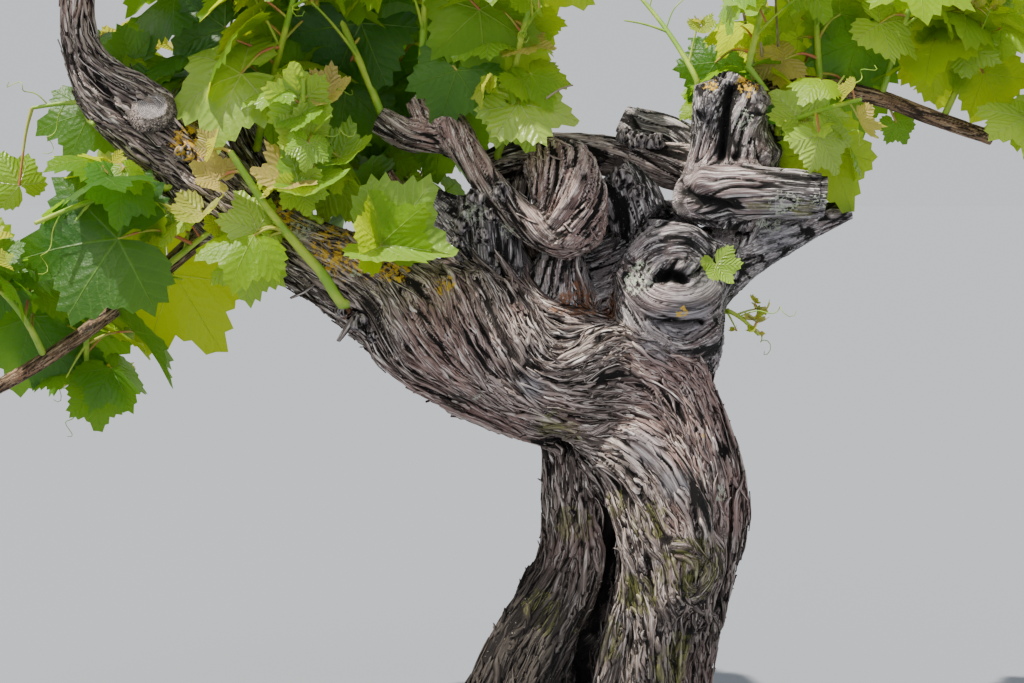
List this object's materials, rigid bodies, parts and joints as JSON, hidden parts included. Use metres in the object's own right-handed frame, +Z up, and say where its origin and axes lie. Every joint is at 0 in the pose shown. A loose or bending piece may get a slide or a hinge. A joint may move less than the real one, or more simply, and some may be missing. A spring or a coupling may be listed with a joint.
{
  "type": "grapevine",
  "caption": "Old spur-pruned grapevine rooted in the ground: stout twisted trunk, long knotted arm, gnarled head, thin canes and leafy spring shoots.",
  "frame": {"origin": "middle of the flat cut under the trunk, at ground level", "axes": "+Z up, +X along the row towards the right-hand cane, +Y behind the vine"},
  "size_m": [1.1853, 0.3537, 0.9059],
  "materials": {
    "old_bark": "shaggy grey-brown bark in long peeling strips, with orange and pale lichen and some moss",
    "grey_wood": "weathered dark grey dead wood and old pruning cuts, cracked and lichened",
    "cane_bark": "smooth striped brown bark of one-year canes",
    "foliage": "bright yellow-green spring leaves, stalks and shoots, glossy above and lit through"
  },
  "bodies": {
    "root": {"trunk": "old_bark", "long_arm": "old_bark", "long_arm_rise": "old_bark", "head_knob": "grey_wood", "right_arm": "grey_wood", "rotten_heart": "old_bark", "centre_stub": "old_bark", "centre_arm": "grey_wood", "centre_arm_knot": "grey_wood", "pruned_spur": "cane_bark", "mid_knot": "grey_wood", "crook_knob": "old_bark", "crook_limb": "old_bark", "crook_fork_left": "old_bark", "crook_fork_right": "old_bark", "back_cordon": "old_bark", "back_cordon_foot": "old_bark", "stump": "grey_wood", "back_spur": "grey_wood", "log_stub": "grey_wood", "left_back_spur": "old_bark", "left_cane": "cane_bark", "right_cane": "cane_bark", "shoot_rise_top_left": "foliage", "shoot_rise_top_right": "foliage", "shoot_rise_side": "foliage", "shoot_elbow": "foliage", "shoot_elbow_back": "foliage", "shoot_arm_young": "foliage", "shoot_arm_bright": "foliage", "shoot_arm_front": "foliage", "shoot_arm_back": "foliage", "shoot_spur_top": "foliage", "shoot_spur_front": "foliage", "shoot_cane_inner": "foliage", "shoot_cane_middle": "foliage", "shoot_cane_outer": "foliage", "shoot_cane_under": "foliage", "shoot_cane_tip": "foliage", "shoot_fork_left": "foliage", "shoot_fork_right": "foliage", "shoot_cordon_front": "foliage", "shoot_cordon_back": "foliage", "shoot_centre_back": "foliage", "shoot_stump_top": "foliage", "shoot_stump_left": "foliage", "shoot_stump_front": "foliage", "shoot_stump_back": "foliage", "shoot_right_inner": "foliage", "shoot_right_middle": "foliage", "shoot_right_outer": "foliage", "shoot_right_tip": "foliage", "shoot_head_sucker": "foliage"}
  },
  "joints": []
}
